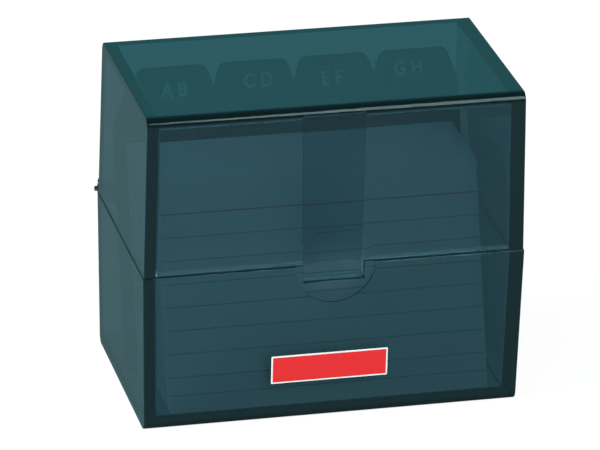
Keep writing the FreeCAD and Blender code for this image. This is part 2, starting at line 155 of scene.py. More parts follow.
front_right = soft_light("front_right_light", place=(0.232, -0.34, 0.35), aim=(0.05, 0, 0.10),
                         wide=0.40, tall=0.30, power=0.93)
front_right.data.color = (0.7, 1.0, 0.98)
BOX_MIDDLE = (0, 0, 0.04)
for name, place, wide, power in (("front_fill", (0.1, -1.3, 0.4), 0.9, 10.0),
                                 ("top_fill", (-0.1, -0.6, 1.2), 0.8, 2.7),
                                 ("left_fill", (-1.3, -0.2, 0.6), 0.8, 36.0)):
    fill = soft_light(name, place, BOX_MIDDLE, wide, wide, power)
    fill.visible_glossy = False

# Case plastic.
# Clear polystyrene tinted through with petrol blue, moulded against polished steel: glossy skin, colour that
# deepens with the way the light has come through the wall, and a faint haze of handling on the outside, thinned
# on level faces and rounded long edges as painted shade.
case_plastic, tree, shader = new_finish("case_plastic", Base_Color=WHITE, IOR=1.59, Transmission_Weight=1.0,
                                        Sheen_Roughness=0.5, Sheen_Tint=(0.15, 0.87, 0.94, 1))
where = node(tree, "ShaderNodeTexCoord")
handled = node(tree, "ShaderNodeTexNoise", Scale=60.0, Detail=6.0)
tree.links.new(where.outputs["Object"], handled.inputs["Vector"])
polish = node(tree, "ShaderNodeMapRange", To_Min=0.004, To_Max=0.022)
tree.links.new(handled.outputs["Fac"], polish.inputs["Value"])
tree.links.new(polish.outputs[0], shader.inputs["Roughness"])

# The haze is full on upright faces, less on level ones and least on the rounded long edges: painted shade
# that darkens the top and the rounded long edges.
LEVEL_PAINTED_SHADE, SHEEN_OF_HAZE, MILK_OF_HAZE = 0.2, 0.15, 0.020
geometry = node(tree, "ShaderNodeNewGeometry")
outside = math_node(tree, "SUBTRACT", 1.0, geometry.outputs["Backfacing"])
apart = node(tree, "ShaderNodeSeparateXYZ")
tree.links.new(where.outputs["Normal"], apart.inputs[0])
# Painted shade: the haze is taken off the rounded long edges and thinned on level faces
rounded = math_node(tree, "ABSOLUTE", math_node(tree, "MULTIPLY", apart.outputs["Y"], apart.outputs["Z"]))
level = math_node(tree, "ABSOLUTE", apart.outputs["Z"])
level_painted_shade = math_node(tree, "MULTIPLY_ADD", level, -LEVEL_PAINTED_SHADE, 1.0)
haze_and_painted_shade = math_node(tree, "MULTIPLY", outside, math_node(tree, "SUBTRACT", level_painted_shade, rounded))
tree.links.new(math_node(tree, "MULTIPLY", haze_and_painted_shade, SHEEN_OF_HAZE), shader.inputs["Sheen Weight"])
milk = node(tree, "ShaderNodeBsdfDiffuse", Color=(0.15, 0.62, 0.78, 1))
milky = node(tree, "ShaderNodeMixShader")
tree.links.new(math_node(tree, "MULTIPLY", haze_and_painted_shade, MILK_OF_HAZE), milky.inputs["Fac"])
tree.links.new(shader.outputs[0], milky.inputs[1])
tree.links.new(milk.outputs[0], milky.inputs[2])

# Light on its way to a dull surface goes straight through, a little more of it through level walls
PASSED_UPRIGHT, PASSED_LEVEL_MORE = 0.60, 0.06
facing = node(tree, "ShaderNodeSeparateXYZ")
tree.links.new(geometry.outputs["Normal"], facing.inputs[0])
facing_up = math_node(tree, "ABSOLUTE", facing.outputs["Z"])
share = math_node(tree, "MULTIPLY_ADD", facing_up, PASSED_LEVEL_MORE, PASSED_UPRIGHT)
passed = node(tree, "ShaderNodeCombineColor")
for channel in ("Red", "Green", "Blue"):
    tree.links.new(share, passed.inputs[channel])
see_through = node(tree, "ShaderNodeBsdfTransparent")
tree.links.new(passed.outputs[0], see_through.inputs["Color"])
path = node(tree, "ShaderNodeLightPath")
straight = math_node(tree, "MAXIMUM", path.outputs["Is Shadow Ray"], path.outputs["Is Diffuse Ray"])
skin = node(tree, "ShaderNodeMixShader")
tree.links.new(straight, skin.inputs["Fac"])
tree.links.new(milky.outputs[0], skin.inputs[1])
tree.links.new(see_through.outputs[0], skin.inputs[2])
tint = node(tree, "ShaderNodeVolumeAbsorption", Color=(0.095, 0.40, 0.485, 1), Density=620.0)
output = tree.nodes["Material Output"]
tree.links.new(skin.outputs[0], output.inputs["Surface"])
tree.links.new(tint.outputs[0], output.inputs["Volume"])

# Tray, the lower half of the case.
# One moulding: drafted walls that widen up to the rim, long lower edges rounded, a thumb dish and the latch
# notch at the front, two hinge flanges with their knuckles at the back. Sizes are in millimetres.
DRAFT = math.radians(0.92)
SLOPE = math.tan(DRAFT)
END_WALL, FRONT_WALL, BACK_WALL, FLOOR_WALL = 3.0, 2.5, 2.0, 3.0
TRAY_HALF_WIDE, TRAY_HALF_DEEP, TRAY_RIM = 44.1, 25.7, 37.9
CORNER_ROUND = 0.3
CORNER_TURN = np.radians([0.0, 30.0, 60.0, 90.0])


def ring_of(height, half_wide, front, back, corner):
    """One level of a case half: a rectangle with round corners, anticlockwise from above.

    Each corner is a quarter circle of four points about a centre set in from both sides by its radius.
    """
    centres = [(half_wide - corner, back - corner), (-half_wide + corner, back - corner),
               (-half_wide + corner, front + corner), (half_wide - corner, front + corner)]
    turns = CORNER_TURN[None, :] + np.radians([0, 90, 180, 270])[:, None]
    places = np.array(centres)[:, None, :] + corner * np.stack([np.cos(turns), np.sin(turns)], axis=-1)
    flat = places.reshape(-1, 2)
    return np.column_stack([flat, np.full(len(flat), height)])


def bands_between(rings, around, first=0):
    """Four-cornered faces between each ring of points and the next.

    Corner i of ring k has the number first + k * around + i; face i of band k joins corners i and i + 1 of
    ring k to the same two of ring k + 1.
    """
    side = np.arange(around)
    ahead = (side + 1) % around
    starts = first + around * np.arange(rings - 1)[:, None]
    return list(np.stack([starts + side, starts + ahead, starts + around + ahead, starts + around + side],
                         axis=-1).reshape(-1, 4))


# Kinds of face, which say what is shaded smoothly: arcs of a moulding, a dish and round bars
FLAT, ARC, DISH, BAR = range(4)


def case_half(name, rim, end, half_wide, half_deep, cavity_end, rim_round, rise=0.0):
    """A drafted half case as rings carried from the closed end up the outside, over the rim, down the inside.

    rim and end are the heights of the open and the closed side, cavity_end that of the cavity's closed side;
    half_wide and half_deep are the outer sides' distances from the middle at the rim. The two long outer
    edges are arcs of 2.2 mm, the cavity's edges of 0.35 mm, the rim's of rim_round. At the front and back
    the rim slopes away by rise over its outer half millimetre, then is flat.
    """
    long_round, end_round, cavity_round = 2.2, 0.22, 0.35
    sloped, sloped_ends = 0.5, 0.1
    toward = 1.0 if rim > end else -1.0
    front, back = -half_deep, half_deep
    levels, arcs = [], []

    def inward(height):
        """How far a wall has come in from the rim at a height."""
        return SLOPE * abs(rim - height)

    def add(rows):
        """Rings that form one arc; the band from the last of them to the next ring is a flat wall."""
        levels.extend(rows)
        arcs.extend([ARC] * (len(rows) - 1) + [FLAT])

    rows = []
    middle = end + toward * long_round
    for angle in np.linspace(math.pi / 2, DRAFT, 15):
        height = middle - toward * long_round * math.sin(angle)
        short = max(0.0, end_round - abs(height - end))
        nip = end_round - math.sqrt(max(0.0, end_round ** 2 - short ** 2))
        set_in = inward(middle) + long_round / math.cos(DRAFT) - long_round * math.cos(angle)
        rows.append((height, half_wide - inward(height) - nip, front + set_in, back - set_in, CORNER_ROUND))
    add(rows)
    quarter = np.radians(np.linspace(0, 90, 5))
    outer_rim = [(rim - toward * rim_round * (1 - math.sin(t)), rim_round * (1 - math.cos(t)))
                 for t in quarter]
    add([(height, half_wide - inward(height) - set_in, front + inward(height) + set_in,
          back - inward(height) - set_in, CORNER_ROUND) for height, set_in in outer_rim])
    flat = rim - toward * rise
    if rise:
        add([(flat, half_wide - sloped_ends, front + sloped, back - sloped, CORNER_ROUND)])
    inner_rim = [(flat - toward * rim_round * (1 - math.cos(t)), rim_round * (1 - math.sin(t)))
                 for t in quarter]
    foot = [(cavity_end + toward * cavity_round * (1 - math.sin(t)), -cavity_round * (1 - math.cos(t)))
            for t in quarter]
    for arc in (inner_rim, foot):
        add([(height, half_wide - END_WALL - inward(height) + out, front + FRONT_WALL + inward(height) - out,
              back - BACK_WALL - inward(height) + out, cavity_round) for height, out in arc])
    rings = [ring_of(*level)[::int(toward)] for level in levels]
    around = len(rings[0])
    side = np.arange(around)
    at_corner = side % len(CORNER_TURN) != len(CORNER_TURN) - 1
    kinds = np.maximum(np.array(arcs[:-1])[:, None], at_corner[None]).ravel().tolist() + [FLAT, FLAT]
    faces = bands_between(len(rings), around) + [side[::-1], (len(rings) - 1) * around + side]
    half = put(name, np.concatenate(rings) / 1000, faces)
    half.data.polygons.foreach_set("material_index", kinds)
    return half


def face_outwards(thing):
    """Turns all faces outwards."""
    build = bmesh.new()
    build.from_mesh(thing.data)
    bmesh.ops.recalc_face_normals(build, faces=build.faces)
    build.to_mesh(thing.data)
    build.free()


def prism(name, outline, start, stop, axis, kinds=FLAT):
    """A closed bar: an outline of (across, along) points, carried from start to stop along an axis.

    Along X the outline is (y, z); along Y it is (x, z). kinds is one kind for the sides, or one for each.
    """
    flat = np.array(outline, float)
    count = len(flat)
    ends = [np.full(count, start), np.full(count, stop)]
    if axis == "X":
        corners = np.concatenate([np.column_stack([e, flat]) for e in ends])
    else:
        corners = np.concatenate([np.column_stack([flat[:, 0], e, flat[:, 1]]) for e in ends])
    side = np.arange(count)
    made = put(name, corners / 1000, bands_between(2, count) + [side[::-1], count + side])
    made.data.polygons.foreach_set("material_index", list(np.broadcast_to(kinds, count)) + [FLAT, FLAT])
    face_outwards(made)
    return made


# The hinge axis runs along X, in the middle of the seam's height
HINGE_Y, HINGE_Z = 27.15, 37.975


def circle(radius, points, middle):
    """Points of a circle about a middle, as an array of two columns."""
    turn = np.linspace(0, 2 * math.pi, points, endpoint=False)
    return np.array(middle) + radius * np.column_stack([np.cos(turn), np.sin(turn)])


def round_bar(name, radius, start, stop):
    """A closed round bar about the hinge axis, with 48 flats around."""
    return prism(name, circle(radius, 48, (HINGE_Y, HINGE_Z)), start, stop, "X", kinds=BAR)


def dish_cutter(name, step, deep, face):
    """The body a thumb dish is cut with, turned about a line along Y and closed in front of the wall.

    face is the wall's place along Y. From 9.4 mm out the profile goes into the wall along a rim 0.2 mm wide
    with a small round on each side, and then along part of a ball from the step's depth to the full depth
    at the middle, at the height of the seam.
    """
    around, floor_edge, before_wall = 128, 9.2, 3.0
    rim = [(9.23, 0.85), (9.28, 0.55), (9.33, 0.25), (9.37, 0.07), (9.42, 0.0), (9.55, -0.03)]
    ball = (floor_edge ** 2 + (deep - step) ** 2) / (2 * (deep - step))
    reach = np.linspace(0, 1, 25)[1:] * floor_edge
    floor = np.sqrt(ball ** 2 - reach ** 2) - (ball - deep)
    profile = [(r, face + d) for r, d in zip(reach, floor)]
    profile += [(r, face + step * d) for r, d in rim] + [(rim[-1][0], face - before_wall)]
    rings = [np.insert(circle(r, around, (0, HINGE_Z)), 1, y, axis=1) for r, y in profile]
    side = np.arange(around)
    faces = [(0, 1 + (i + 1) % around, 1 + i) for i in side] + bands_between(len(rings), around, first=1)
    faces.append(1 + (len(rings) - 1) * around + side)
    made = put(name, np.concatenate([[(0, face + deep, HINGE_Z)]] + rings) / 1000, faces)
    kinds = np.full(len(faces), DISH)
    kinds[-(around + 1):] = FLAT
    made.data.polygons.foreach_set("material_index", kinds)
    face_outwards(made)
    return made


KIND_FINISHES = [bpy.data.materials.new("kind_%d" % kind) for kind in (FLAT, ARC, DISH, BAR)]


def bake(target):
    """Makes what an object's modifiers do to its mesh part of the mesh."""
    graph = bpy.context.evaluated_depsgraph_get()
    result = bpy.data.meshes.new_from_object(target.evaluated_get(graph), preserve_all_data_layers=True,
                                             depsgraph=graph)
    target.modifiers.clear()
    old = target.data
    target.data = result
    result.name = target.name
    bpy.data.meshes.remove(old)


def combine(target, tool, how):
    """Joins a tool body to a target, or cuts it out, and removes the tool; faces keep their kinds."""
    for thing in (target, tool):
        if not thing.data.materials:
            index = np.zeros(len(thing.data.polygons), np.int32)
            thing.data.polygons.foreach_get("material_index", index)
            for finish in KIND_FINISHES:
                thing.data.materials.append(finish)
            thing.data.polygons.foreach_set("material_index", index)
    step = target.modifiers.new("combine", "BOOLEAN")
    step.operation = how
    step.solver = "EXACT"
    step.material_mode = "TRANSFER"
    step.object = tool
    bake(target)
    bpy.data.objects.remove(tool)


def settle(thing, finish):
    """Flat faces stay flat and arcs turn smoothly; where two kinds of arc meet, the edge stays crisp.

    Large faces weigh more in the shading of a shared corner, so that a long arc shades the same along its
    length.
    """
    same_place, crisp = 2e-7, math.radians(40)
    mesh = thing.data
    slot_names = [slot.name if slot else "" for slot in mesh.materials] or [""]
    kind_of_slot = np.array([int(name.split("_")[1].split(".")[0]) if name.startswith("kind_") else FLAT
                             for name in slot_names])
    index = np.zeros(len(mesh.polygons), np.int32)
    mesh.polygons.foreach_get("material_index", index)
    mesh.polygons.foreach_set("use_smooth", kind_of_slot[index] != FLAT)
    build = bmesh.new()
    build.from_mesh(mesh)
    bmesh.ops.remove_doubles(build, verts=build.verts, dist=same_place)
    for edge in build.edges:
        kinds = {int(kind_of_slot[face.material_index]) for face in edge.link_faces}
        meeting = len(kinds) > 1 and kinds != {FLAT, ARC}
        edge.smooth = not (edge.calc_face_angle(0.0) > crisp or meeting)
    for face in build.faces:
        face.material_index = 0
    build.to_mesh(mesh)
    build.free()
    mesh.materials.clear()
    mesh.materials.append(finish)
    mesh.update()
    even = thing.modifiers.new("even_shading", "WEIGHTED_NORMAL")
    even.keep_sharp = True
    bake(thing)


KNUCKLE_LONG, KNUCKLE_GAP, KNUCKLE_RADIUS, TURN_GAP = 6.9, 0.3, 1.2, 0.25
FLANGE_START, FLANGE_STOP = 29.5, 43.6
INNER_KNUCKLE, OUTER_KNUCKLE = 29.5, 36.7
PIN_RADIUS, BEYOND_CASE = 0.6, 60


def hinge_parts(name, sign, wall, seam, own, other):
    """Flange and knuckle of both hinge units of one case half; sign is +1 above the seam, -1 below.

    own and other are the distances of the two knuckles' inner ends from the box's middle. The flange has
    a slanted outer corner and room for the other half's knuckle.
    """
    root, behind, square, slant = 0.8, 0.78, 1.6, 1.1
    outline = [(wall - root, seam), (HINGE_Y + behind, seam), (HINGE_Y + behind, HINGE_Z + sign * square),
               (HINGE_Y + behind - slant, HINGE_Z + sign * (square + slant)),
               (wall - root, HINGE_Z + sign * (square + slant))]
    for side in (-1, 1):
        start, stop = sorted((side * FLANGE_START, side * FLANGE_STOP))
        flange = prism(name + "_flange", outline, start, stop, "X")
        start, stop = sorted((side * (other - KNUCKLE_GAP), side * (other + KNUCKLE_LONG + KNUCKLE_GAP)))
        room = round_bar(name + "_room", KNUCKLE_RADIUS + TURN_GAP, start, stop)
        combine(flange, room, "DIFFERENCE")
        start, stop = sorted((side * own, side * (own + KNUCKLE_LONG)))
        combine(flange, round_bar(name + "_knuckle", KNUCKLE_RADIUS, start, stop), "UNION")
        yield flange


def arc_points(centre, radius, start, stop, points=5):
    """Points of an arc about a centre in a plane, from one angle to another in degrees."""
    turn = np.radians(np.linspace(start, stop, points))
    return [(centre[0] + radius * math.cos(t), centre[1] + radius * math.sin(t)) for t in turn]


tray = case_half("tray", rim=TRAY_RIM, end=0.0, half_wide=TRAY_HALF_WIDE, half_deep=TRAY_HALF_DEEP,
                 cavity_end=FLOOR_WALL, rim_round=0.35)
combine(tray, dish_cutter("dish_tool", step=0.3, deep=1.15, face=-TRAY_HALF_DEEP), "DIFFERENCE")
NOTCH_LEFT, NOTCH_RIGHT, NOTCH_LOW, NOTCH_ROUND, ABOVE_RIM = -7.3, 7.0, 33.6, 0.2, 39.0
BEFORE_WALL, BEHIND_WALL = -28.0, -21.4
notch = [(NOTCH_RIGHT, ABOVE_RIM), (NOTCH_LEFT, ABOVE_RIM)]
notch += arc_points((NOTCH_LEFT + NOTCH_ROUND, NOTCH_LOW + NOTCH_ROUND), NOTCH_ROUND, 180, 270)
notch += arc_points((NOTCH_RIGHT - NOTCH_ROUND, NOTCH_LOW + NOTCH_ROUND), NOTCH_ROUND, 270, 360)
combine(tray, prism("notch_tool", notch, BEFORE_WALL, BEHIND_WALL, "Y"), "DIFFERENCE")
for part in hinge_parts("tray", sign=-1, wall=TRAY_HALF_DEEP, seam=TRAY_RIM, own=OUTER_KNUCKLE,
                        other=INNER_KNUCKLE):
    combine(tray, part, "UNION")
combine(tray, round_bar("bore_tool", PIN_RADIUS, -BEYOND_CASE, BEYOND_CASE), "DIFFERENCE")
settle(tray, case_plastic)
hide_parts("base_tray")
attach(tray, "case")

# Lid, the upper half of the case.
# The same moulding upside down and 0.2 mm narrower at the seam, with a thin rib down the inside of its
# front that ends in the latch tongue; the tongue's foot sits flush in the tray's notch.
LID_HALF_WIDE, LID_HALF_DEEP, LID_RIM, LID_TOP, LID_CEILING = 43.9, 25.5, 38.05, 75.7, 72.9
lid = case_half("lid_shell", rim=LID_RIM, end=LID_TOP, half_wide=LID_HALF_WIDE, half_deep=LID_HALF_DEEP,
                cavity_end=LID_CEILING, rim_round=0.05, rise=0.14)


def corner_places(mesh):
    """Where a mesh's corners are, as an array of three columns."""
    places = np.zeros(3 * len(mesh.vertices), np.float32)
    mesh.vertices.foreach_get("co", places)
    return places.reshape(-1, 3).astype(float)


# The rib flares upward and leans with the drafted wall that it grows out of
TONGUE_LEFT, TONGUE_RIGHT, RIB_FLARE, RIB_THICK = -7.1, 6.45, 0.4, 0.85
RIB_ROOT, RIB_TOP = -23.6, 73.5
rib_face = -LID_HALF_DEEP + FRONT_WALL + RIB_THICK
rib = prism("rib_part", [(TONGUE_LEFT, LID_RIM), (TONGUE_RIGHT, LID_RIM), (TONGUE_RIGHT + RIB_FLARE, RIB_TOP),
                         (TONGUE_LEFT - RIB_FLARE, RIB_TOP)], RIB_ROOT, rib_face, "Y")
places = corner_places(rib.data)
places[:, 1] += SLOPE * (places[:, 2] - LID_RIM / 1000)
rib.data.vertices.foreach_set("co", places.ravel())
combine(lid, rib, "UNION")
TONGUE_LOW, TONGUE_ROOT, TONGUE_FRONT = 33.75, 38.6, -23.9
FOOT_TOP, FOOT_FRONT, FOOT_ROUND = 35.2, -24.65, 0.45
tongue = [(rib_face, TONGUE_LOW), (rib_face, TONGUE_ROOT), (TONGUE_FRONT, TONGUE_ROOT),
          (TONGUE_FRONT, FOOT_TOP), (FOOT_FRONT, FOOT_TOP)]
foot_edge = arc_points((FOOT_FRONT + FOOT_ROUND, TONGUE_LOW + FOOT_ROUND), FOOT_ROUND, 180, 270)
tongue_kinds = [FLAT] * len(tongue) + [ARC] * (len(foot_edge) - 1) + [FLAT]
combine(lid, prism("tongue_part", tongue + foot_edge, TONGUE_LEFT, TONGUE_RIGHT, "X", tongue_kinds), "UNION")
combine(lid, dish_cutter("dish_tool", step=0.12, deep=0.7, face=-LID_HALF_DEEP), "DIFFERENCE")
for part in hinge_parts("lid", sign=1, wall=LID_HALF_DEEP, seam=LID_RIM, own=INNER_KNUCKLE,
                        other=OUTER_KNUCKLE):
    combine(lid, part, "UNION")
PIN_PLAY = 0.08
combine(lid, round_bar("bore_tool", PIN_RADIUS + PIN_PLAY, -BEYOND_CASE, BEYOND_CASE), "DIFFERENCE")
settle(lid, case_plastic)
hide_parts("lid")
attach(lid, "lid")
for finish in KIND_FINISHES:
    bpy.data.materials.remove(finish)

# Hinge pins.
# Two short lengths of drawn steel wire, cut and tumbled, pressed through the knuckles from the ends.
pin_steel, tree, shader = new_finish("pin_steel", Metallic=1.0, Base_Color=(0.62, 0.62, 0.61, 1))
where = node(tree, "ShaderNodeTexCoord")
along = node(tree, "ShaderNodeMapping", Scale=(300, 9000, 9000))
tree.links.new(where.outputs["Object"], along.inputs["Vector"])
drawn = node(tree, "ShaderNodeTexNoise", Scale=1.0)
tree.links.new(along.outputs[0], drawn.inputs["Vector"])
rough = node(tree, "ShaderNodeMapRange", To_Min=0.22, To_Max=0.42)
tree.links.new(drawn.outputs["Fac"], rough.inputs["Value"])
tree.links.new(rough.outputs[0], shader.inputs["Roughness"])
PIN_INNER, PIN_OUTER, PIN_AROUND = 29.5, 44.45, 32
# Distances from a pin's end and the wire's radius there
TUMBLED_END = [(0.0, 0.42), (0.06, 0.54), (0.2, 0.598)]
for side, start, stop in (("left", -PIN_OUTER, -PIN_INNER), ("right", PIN_INNER, PIN_OUTER)):
    profile = [(start + x, r) for x, r in TUMBLED_END] + [(stop - x, r) for x, r in TUMBLED_END[::-1]]
    rings = [np.insert(circle(r, PIN_AROUND, (HINGE_Y, HINGE_Z)), 0, x, axis=1) for x, r in profile]
    turned = bands_between(len(rings), PIN_AROUND)
    end = np.arange(PIN_AROUND)
    faces = turned + [end[::-1], (len(rings) - 1) * PIN_AROUND + end]
    smooth = np.arange(len(faces)) < len(turned)
    pin = put("pin_" + side, np.concatenate(rings) / 1000, faces, pin_steel, smooth)
    face_outwards(pin)
    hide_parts("hinge_pin_" + side)
    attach(pin, "case")

# Front label.
# A printed film stuck on the tray's front face: red with a narrow white edge, left blank.
LABEL_HALF_WIDE, LABEL_HALF_TALL, LABEL_THICK, LABEL_ROUND, WHITE_EDGE = 13.55, 3.4, 0.12, 0.25, 0.35
LABEL_ASIDE, LABEL_LOW = -0.75, 9.4


def mottled(tree, scale, first, second, detail=2.0):
    """A colour that wanders between two along a fine noise on the piece; returns the colour and the noise."""
    where = node(tree, "ShaderNodeTexCoord")
    noise = node(tree, "ShaderNodeTexNoise", Scale=scale, Detail=detail)
    tree.links.new(where.outputs["Object"], noise.inputs["Vector"])
    tone = node(tree, "ShaderNodeMix", data_type="RGBA", A=first, B=second)
    tree.links.new(noise.outputs["Fac"], tone.inputs["Factor"])
    return tone.outputs["Result"], noise.outputs["Fac"]


def flat_place(tree):
    """The two numbers, across and up, of a place on the piece's own flat map in millimetres."""
    where = node(tree, "ShaderNodeUVMap")
    apart = node(tree, "ShaderNodeSeparateXYZ")
    tree.links.new(where.outputs[0], apart.inputs[0])
    return apart.outputs["X"], apart.outputs["Y"]


def set_flat_map(thing, flat):
    """Gives each corner of a piece its place on the piece's own flat map, in millimetres."""
    layer = thing.data.uv_layers.new(name="UVMap")
    loops = np.zeros(len(thing.data.loops), np.int32)
    thing.data.loops.foreach_get("vertex_index", loops)
    layer.data.foreach_set("uv", flat[loops].ravel())


label_film, tree, shader = new_finish("label_film", Roughness=0.32)
across, upward = flat_place(tree)
inside = math_node(tree, "MULTIPLY", math_node(tree, "COMPARE", across, 0.0, LABEL_HALF_WIDE - WHITE_EDGE),
                   math_node(tree, "COMPARE", upward, 0.0, LABEL_HALF_TALL - WHITE_EDGE))
red, _ = mottled(tree, 900.0, (0.74, 0.024, 0.030, 1), (0.80, 0.034, 0.038, 1))
film = node(tree, "ShaderNodeMix", data_type="RGBA", A=(0.86, 0.86, 0.86, 1))
tree.links.new(inside, film.inputs["Factor"])
tree.links.new(red, film.inputs["B"])
tree.links.new(film.outputs["Result"], shader.inputs["Base Color"])

# The outline is a rectangle with round corners; the front's edge is broken by 0.03 mm
angles = np.radians(np.arange(0, 360, 15))
corner_x = np.where(np.cos(angles + 1e-6) > 0, 1, -1) * (LABEL_HALF_WIDE - LABEL_ROUND)
corner_z = np.where(np.sin(angles + 1e-6) > 0, 1, -1) * (LABEL_HALF_TALL - LABEL_ROUND)
edge_x = corner_x + LABEL_ROUND * np.cos(angles)
edge_z = corner_z + LABEL_ROUND * np.sin(angles)
count = len(angles)
broken = 0.03
layers = [(0.0, 0.0), (0.0, LABEL_THICK - broken), (broken, LABEL_THICK)]
across, outward, upward = np.concatenate(
    [np.column_stack([edge_x * (1 - set_in / LABEL_HALF_WIDE), np.full(count, -proud),
                      edge_z * (1 - set_in / LABEL_HALF_TALL)]) for set_in, proud in layers]).T
label_middle = LABEL_LOW + LABEL_HALF_TALL
wall_y = -TRAY_HALF_DEEP + (TRAY_RIM - LABEL_LOW - LABEL_HALF_TALL) * SLOPE
corners = np.column_stack([LABEL_ASIDE + across,
                           wall_y + outward * math.cos(DRAFT) - upward * math.sin(DRAFT),
                           label_middle + upward * math.cos(DRAFT) + outward * math.sin(DRAFT)])
faces = bands_between(len(layers), count) + [np.arange(count), (len(layers) - 1) * count + np.arange(count)]
label = put("label", corners / 1000, faces, label_film)
face_outwards(label)
set_flat_map(label, np.column_stack([across, upward]))
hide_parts("front_label")
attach(label, "case")

# Index cards.
# A hundred cut cards of white board with a red head rule and pale blue rules on their fronts, standing on
# the floor of the tray and leaning back 17.5 degrees; each is cut and stands a hair differently.
CARD_WIDE, CARD_TALL, CARD_THICK, CARD_PITCH, PACK_CARDS, PACKS = 74.0, 53.0, 0.2, 0.21, 20, 5
CARDS_ASIDE, FLOOR_GAP, FRONT_GAP, PACK_GAP = 0.15, 0.05, 0.3, 0.04
LEAN = math.radians(17.5)
SHEET_Z = FLOOR_WALL + FLOOR_GAP + CARD_THICK * math.sin(LEAN)
STACK_Y = -TRAY_HALF_DEEP + FRONT_WALL + (TRAY_RIM - FLOOR_WALL) * SLOPE + FRONT_GAP
PACK_PITCH = (PACK_CARDS * CARD_PITCH + PACK_GAP) / math.cos(LEAN)
RULE_HEIGHTS, HALF_RULE = (39.8, 34.55, 29.3, 24.05, 18.75, 13.45, 8.1, 4.0), 0.13
HEAD_HEIGHT, HALF_HEAD = 45.1, 0.16


def fine_grain(tree, shader, noise, strength):
    """A bump of two hundredths of a millimetre from a noise."""
    bump = node(tree, "ShaderNodeBump", Strength=strength, Distance=0.00002)
    tree.links.new(noise, bump.inputs["Height"])
    tree.links.new(bump.outputs[0], shader.inputs["Normal"])


def inked(tree, ground, ink, marked, share):
    """A ground colour printed over with an ink where marked is 1, as densely as share says."""
    printed = node(tree, "ShaderNodeMix", data_type="RGBA", B=ink)
    tree.links.new(math_node(tree, "MULTIPLY", marked, share), printed.inputs["Factor"])
    tree.links.new(ground, printed.inputs["A"])
    return printed.outputs["Result"]


card_board, tree, shader = new_finish("card_board", Roughness=0.75)
_, height = flat_place(tree)
rules = math_node(tree, "COMPARE", height, RULE_HEIGHTS[0], HALF_RULE)
for rule_height in RULE_HEIGHTS[1:]:
    rules = math_node(tree, "MAXIMUM", rules, math_node(tree, "COMPARE", height, rule_height, HALF_RULE))
head = math_node(tree, "COMPARE", height, HEAD_HEIGHT, HALF_HEAD)
board, fibre = mottled(tree, 2200.0, (0.80, 0.80, 0.78, 1), (0.88, 0.88, 0.87, 1), detail=3.0)
ruled = inked(tree, board, (0.30, 0.42, 0.50, 1), rules, 0.9)
headed = inked(tree, ruled, (0.75, 0.16, 0.28, 1), head, 0.85)
tree.links.new(headed, shader.inputs["Base Color"])
fine_grain(tree, shader, fibre, 0.15)


def sheets(count, wide, tall, thick, pitch, uneven, seed):
    """A pack of leaning sheets: for each, a 5 by 3 grid of points on its front and on its back.

    Sheet n stands n pitches along the floor behind the first; its points go up by the card's height along
    the lean, with a small sideways shift, a top cut a little low and a bow of two thousandths of a
    millimetre. Returns corners, faces and the points of the flat map in millimetres, where the backs lie
    100 mm above the rules.
    """
    columns, rows, bow, back_of_map = 5, 3, 0.002, 100
    grid = columns * rows
    dice = np.random.default_rng(seed)
    u, v = np.meshgrid(np.linspace(-1, 1, columns), np.linspace(0, 1, rows))
    u, v = u.ravel(), v.ravel()
    number = np.arange(count)[:, None]
    shift = uneven * dice.uniform(-1, 1, (count, 1))
    lift = 0.25 * uneven * dice.uniform(-1, 0, (count, 1))
    x = wide / 2 * u[None] + shift
    s = tall * v[None] + lift * v[None]
    depth = number * pitch + bow * (1 - u[None] ** 2)
    up = number * pitch * math.tan(LEAN)
    both = []
    for back in (0.0, thick):
        perpendicular = depth + back
        both.append(np.stack([x, perpendicular * math.cos(LEAN) + (s + up) * math.sin(LEAN),
                              (s + up) * math.cos(LEAN) - perpendicular * math.sin(LEAN)], axis=-1))
    corners = np.concatenate(both, axis=1).reshape(-1, 3)
    first = (columns * np.arange(rows - 1)[:, None] + np.arange(columns - 1)).ravel()
    cell = np.stack([first, first + 1, first + columns + 1, first + columns], axis=-1)
    edge = np.array([0, 1, 2, 3, 4, 9, 14, 13, 12, 11, 10, 5])
    before = np.roll(edge, 1)
    band = np.stack([edge, before, before + grid, edge + grid], axis=-1)
    one = np.concatenate([cell, cell[:, ::-1] + grid, band])
    faces = (one[None] + 2 * grid * np.arange(count)[:, None, None]).reshape(-1, 4)
    flat = np.stack([np.concatenate([x, x], axis=1), np.concatenate([s, s + back_of_map], axis=1)], axis=-1)
    return corners, faces, flat.reshape(-1, 2)


FIRST_SEED = 40
for number in range(PACKS):
    uneven = 0.25 if number else 0.12
    corners, faces, flat = sheets(PACK_CARDS, CARD_WIDE, CARD_TALL, CARD_THICK, CARD_PITCH, uneven,
                                  FIRST_SEED + number)
    corners += (CARDS_ASIDE, STACK_Y + number * PACK_PITCH, SHEET_Z)
    cards = put("cards_%d_board" % (number + 1), corners / 1000, faces, card_board)
    face_outwards(cards)
    set_flat_map(cards, flat)
    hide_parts("card_pack_%d" % (number + 1))
    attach(cards, "cards_%d" % (number + 1))

# Tabbed dividers.
# Twelve punched sheets of grey polypropylene, each with one round-cornered tab in one of four places and the
# letters of its section printed on the tab's front.
DIVIDER_HALF_WIDE, DIVIDER_TALL, DIVIDER_THICK = 39.5, 55.34, 0.16
TAB_TALL, TAB_HALF_ROOT, TAB_HALF_TOP, TAB_PITCH, TAB_PLACES, TAB_SHIFT = 12, 11.6, 7.8, 19.05, 4, 0.95
FOOT_CORNER, ROOT_CORNER, TAB_CORNER = 0.4, 0.8, 2.0
DIVIDERS_Y = STACK_Y + PACKS * PACK_PITCH
DIVIDER_PITCH = 0.19 / math.cos(LEAN)

divider_sheet, tree, shader = new_finish("divider_sheet", Roughness=0.45)
grey, grain = mottled(tree, 3500.0, (0.031, 0.029, 0.030, 1), (0.041, 0.038, 0.039, 1))
tree.links.new(grey, shader.inputs["Base Color"])
fine_grain(tree, shader, grain, 0.2)

